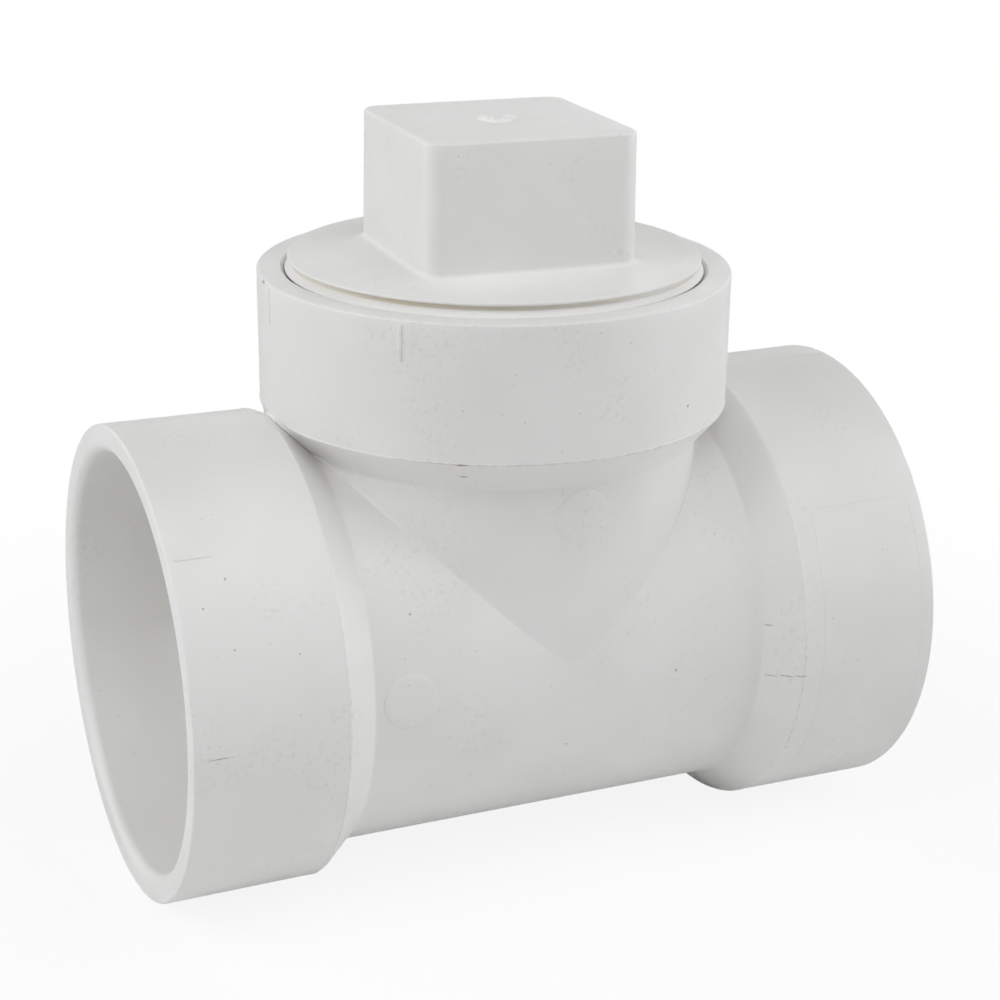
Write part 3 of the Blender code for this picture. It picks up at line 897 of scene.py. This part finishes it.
def plugOutside():
    # the head from the middle of its top, the disc, the groove and the collar
    half, corner, top = plug["headHalf"], plug["cornerRadius"], plug["headTop"]
    foot, rt, rf = plug["discTop"] + plug["dome"], plug["topRadius"], plug["footRadius"]
    arc = plugRows["arc"]
    levels, rows = [], fixedRows([(top, 0)])
    for scale in plugRows["top"]:
        addLevel(levels, rows, top, half - rt, corner - rt + plugRows["topCorner"], scale)
    for i in range(arc + 1):
        turn = math.pi / 2 * (1 - i / arc)
        inset = rt * (1 - math.cos(turn))
        addLevel(levels, rows, top - rt + rt * math.sin(turn), half - inset, corner - inset)
    for height in np.linspace(top - rt, foot + rf, plugRows["wall"])[1:-1]:
        addLevel(levels, rows, height, half, corner)
    for i in range(arc + 1):
        turn = math.pi / 2 * i / arc
        out = rf * (1 - math.cos(turn))
        addLevel(levels, rows, foot + rf * (1 - math.sin(turn)), half + out, corner + out)
    for i in range(1, plugRows["disc"] + 1):
        circle = (i / plugRows["disc"]) ** plugRows["discSpread"]
        addLevel(levels, rows, foot, half + rf, corner + rf, 1, circle)
    groove, collar, low = plug["grooveRadius"], plug["collarRadius"], plug["collarLow"]
    disc, edge = plug["discRadius"], plug["collarEdge"]
    line = roundedLine([(plug["discTop"], disc - 1), (plug["discTop"], disc), (plug["discLow"], disc),
                        (plug["discLow"], groove), (plug["lip"][0][0] + plug["grooveFoot"], groove),
                        *plug["lip"], (plug["collarHigh"], collar), (low + edge, collar),
                        (low, collar - edge), (low, pitchRadiusAt(low) - thread["depth"] / 2)],
                       {1: plug["discRound"], **plug["edgeRounds"]}, 3)
    bm = spunShell(rows + fixedRows(line[1:]), False)
    shapePlugShell(bm, levels)
    return bm


def plugInside():
    # the skirt's end and bore, its ceiling and the hollow in the head
    low, ceiling, top, mouth = plug["low"], plug["ceiling"], plug["hollowTop"], plug["hollowMouth"]
    half, corner = plug["hollowHalf"], plug["cornerRadius"]
    skirt = roundedLine([(low, pitchRadiusAt(low) - thread["depth"] / 2), (low, plug["skirtRadius"]),
                         (ceiling, plug["skirtRadius"]), (ceiling, half + corner)], plug["skirtRounds"], 4)
    levels, rows = [], []
    for out in plugRows["mouth"]:
        up = 0 if out == 1 else 0.5 - out / 2
        addLevel(levels, rows, ceiling + mouth * up, half + out * mouth, corner + out * mouth)
    for height in plugRows["hollow"]:
        addLevel(levels, rows, height, half, corner)
    for below, inset, tighter in plugRows["hollowTop"]:
        addLevel(levels, rows, top - below, half - inset, corner - tighter)
    for scale in plugRows["hollowTopScales"]:
        addLevel(levels, rows, top, half - inset, corner - tighter, scale)
    bm = spunShell(fixedRows(skirt[:-1]) + rows + fixedRows([(top, 0)]), False)
    shapePlugShell(bm, levels)
    return bm


def makePlug():
    maleThread = threadStrip(plug["low"], plug["collarLow"], 0, thread["crestFlat"], thread["runout"],
                             thread["neckRunout"])
    bm = joined([plugOutside(), plugInside(), maleThread])
    soil(bm, plug["dirtAndShade"])
    addPiece("cleanoutPlug", bm, "plug", plugPvc, node="cleanout_plug")


makePlug()

gateMark = {
    "middle": (-0.3, -1.1),
    "half": (2.75, 2.3),
    "segments": 32,
    "topShare": 0.84,  # its top is this much narrower than its foot
    "cuts": 3,
    "lobes": ((3, 0.08, 0.6), (7, 0.05, 2)),  # how often round it, how far out, phase
    "height": 0.5,
    "least": 0.06,
    "most": 0.7,
    "hollow": 0.3,  # how much lower its middle was torn
    "hollowShare": 0.6,  # how far out the hollow reaches
    "gap": 0.01,
    "rough": ((1.6, 0.22), (4, 0.132)),  # fineness and height of the torn surface
}


def makeGateMark():
    # the stub where the sprue was twisted off: a low ragged ring on the head's top, whitened by the tearing
    mark = gateMark
    torn = mouldedPvc("torn white PVC", changedLook(tornPvc))
    bm = bmesh.new()
    bmesh.ops.create_cone(bm, cap_ends=True, cap_tris=True, segments=mark["segments"], radius1=1,
                          radius2=mark["topShare"], depth=1)
    bmesh.ops.subdivide_edges(bm, edges=bm.edges, cuts=mark["cuts"], use_grid_fill=True)
    (mx, my), (hx, hy) = mark["middle"], mark["half"]
    low = plug["headTop"] + mark["gap"]
    for vert in bm.verts:
        x, y, z = vert.co
        turn, out = math.atan2(y, x), math.hypot(x, y)
        wave = 1 + sum(size * math.sin(often * turn + phase) for often, size, phase in mark["lobes"])
        place = Vector((x * hx * wave, y * hy * wave, 0))
        ragged = sum(noise.noise(place * fine) * height for fine, height in mark["rough"])
        hollow = mark["hollow"] * max(0, 1 - out / mark["hollowShare"])
        high = max(mark["least"], min(mark["most"], mark["height"] + ragged - hollow))
        # the cone's foot is at -0.5, and stays flat
        vert.co = (mx + place.x, my + place.y, low + (high * (z + 0.5) if z > -0.49 else 0))
    addPiece("plugGateMark", bm, "plug_carrier", torn, node="plug_gate_mark")


makeGateMark()


view = {
    "azimuth": -23.884,
    "elevation": 17.801,
    "roll": 0.683,
    "distance": 342.314,
    "target": (-0.243, 0, 28.038),
    "focalPixels": 2304.281,
    "centrePixel": (490.531, 431.247),
    "photoSide": 1000,
    "sensor": 36,
    "clip": (0.01, 50),  # metres
}


def direction(azimuth, elevation):
    # from the part towards a camera or a lamp at these angles
    a, e = math.radians(azimuth), math.radians(elevation)
    return Vector((math.sin(a) * math.cos(e), -math.cos(a) * math.cos(e), math.sin(e)))


def makeCamera():
    side, (centreX, centreY) = view["photoSide"], view["centrePixel"]
    data = bpy.data.cameras.new("camera")
    data.sensor_width = view["sensor"]
    data.lens = view["sensor"] * view["focalPixels"] / side
    data.shift_x = (side / 2 - centreX) / side
    data.shift_y = (centreY - side / 2) / side
    data.clip_start, data.clip_end = view["clip"]
    camera = bpy.data.objects.new("camera", data)
    bpy.context.collection.objects.link(camera)
    back = direction(view["azimuth"], view["elevation"])
    place = Matrix.Translation((Vector(view["target"]) + back * view["distance"]) * mm)
    roll = Matrix.Rotation(math.radians(view["roll"]), 4, "Z")
    camera.matrix_world = place @ (-back).to_track_quat("-Z", "Y").to_matrix().to_4x4() @ roll
    bpy.context.scene.camera = camera


light = {
    "world": 0.01,
    # a cool white balance, against which only the light inside the bores looks warm
    "colour": (0.98, 0.988, 1),
    "lamps": {  # azimuth, elevation, watts
        "left": (-45, 38, 1.25),
        "leftSide": (-85, 38, 3.05),
        "leftBack": (-130, 5, 2.5),
        "above": (0, 68, 1.2),
        "right": (45, 38, 1.0),
        "rightHigh": (45, 68, 1.15),
        "rightLow": (65, 5, 2.4),
        "rightSide": (85, 5, 2.0),
        "rightBack": (130, 5, 0.7),
    },
    "distance": 900,
    "side": 700,
}

board = {
    "half": 40,  # metres
    "below": 0.02,  # how far under the hubs it lies
    "colour": "#FBFBFB",
    # the camera sees pure white board; the object's shadow shows through only close to it,
    # in metres from the middle
    "white": {"interpolation_type": "SMOOTHSTEP", "From Min": 0.06, "From Max": 0.2, "To Min": 0.88,
              "To Max": 1},
}


def makeFloor():
    bm = bmesh.new()
    bmesh.ops.create_grid(bm, x_segments=2, y_segments=2, size=board["half"])
    bmesh.ops.translate(bm, vec=(0, 0, -(tee["hubRimRadius"] + board["below"]) * mm), verts=bm.verts)
    mesh = bpy.data.meshes.new("floor")
    bm.to_mesh(mesh)
    bm.free()
    floor = bpy.data.objects.new("floor", mesh)
    bpy.context.collection.objects.link(floor)
    material = bpy.data.materials.new("pale studio board")
    material.use_nodes = True
    tree = material.node_tree
    shader = tree.nodes["Principled BSDF"]
    shader.inputs["Base Color"].default_value = linear(board["colour"])
    shader.inputs["Roughness"].default_value = 1
    white = addNode(tree, "ShaderNodeEmission", {"Color": (1, 1, 1, 1), "Strength": 1})
    place = addNode(tree, "ShaderNodeTexCoord").outputs["Object"]
    away = addNode(tree, "ShaderNodeVectorMath", {"operation": "LENGTH"}, {0: place}).outputs["Value"]
    share = addNode(tree, "ShaderNodeMapRange", board["white"], {"Value": away}).outputs[0]
    path = addNode(tree, "ShaderNodeLightPath")
    fade = addNode(tree, "ShaderNodeMath", {"operation": "MULTIPLY"},
                   {0: path.outputs["Is Camera Ray"], 1: share})
    mix = addNode(tree, "ShaderNodeMixShader", {},
                  {0: fade.outputs[0], 1: shader.outputs[0], 2: white.outputs[0]})
    tree.links.new(mix.outputs[0], tree.nodes["Material Output"].inputs["Surface"])
    mesh.materials.append(material)
    floor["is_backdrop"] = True


def makeLight():
    # a plain white world to the camera and in reflections, nearly dark as a lamp
    world = bpy.data.worlds.new("studio")
    bpy.context.scene.world = world
    world.use_nodes = True
    tree = world.node_tree
    background = tree.nodes["Background"]
    background.inputs["Color"].default_value = (1, 1, 1, 1)
    background.inputs["Strength"].default_value = light["world"]
    white = addNode(tree, "ShaderNodeBackground", {"Color": (1, 1, 1, 1), "Strength": 1})
    path = addNode(tree, "ShaderNodeLightPath")
    seen = path.outputs["Is Camera Ray"]
    for ray in ("Is Glossy Ray", "Is Transmission Ray"):
        seen = addNode(tree, "ShaderNodeMath", {"operation": "MAXIMUM"},
                       {0: seen, 1: path.outputs[ray]}).outputs[0]
    mix = addNode(tree, "ShaderNodeMixShader", {}, {0: seen, 1: background.outputs[0], 2: white.outputs[0]})
    tree.links.new(mix.outputs[0], tree.nodes["World Output"].inputs["Surface"])
    for name, (azimuth, elevation, watts) in light["lamps"].items():
        data = bpy.data.lights.new(name, "AREA")
        data.size, data.energy, data.color = light["side"] * mm, watts, light["colour"]
        lamp = bpy.data.objects.new(name, data)
        bpy.context.collection.objects.link(lamp)
        away = direction(azimuth, elevation)
        lamp.location = away * light["distance"] * mm
        lamp.rotation_mode = "QUATERNION"
        lamp.rotation_quaternion = (-away).to_track_quat("-Z", "Y")


makeCamera()
makeFloor()
makeLight()
bpy.context.scene.view_settings.view_transform = "Standard"
print("camera, floor and light made")

[[list(corner) for corner in box] for box in (cadBox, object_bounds())]
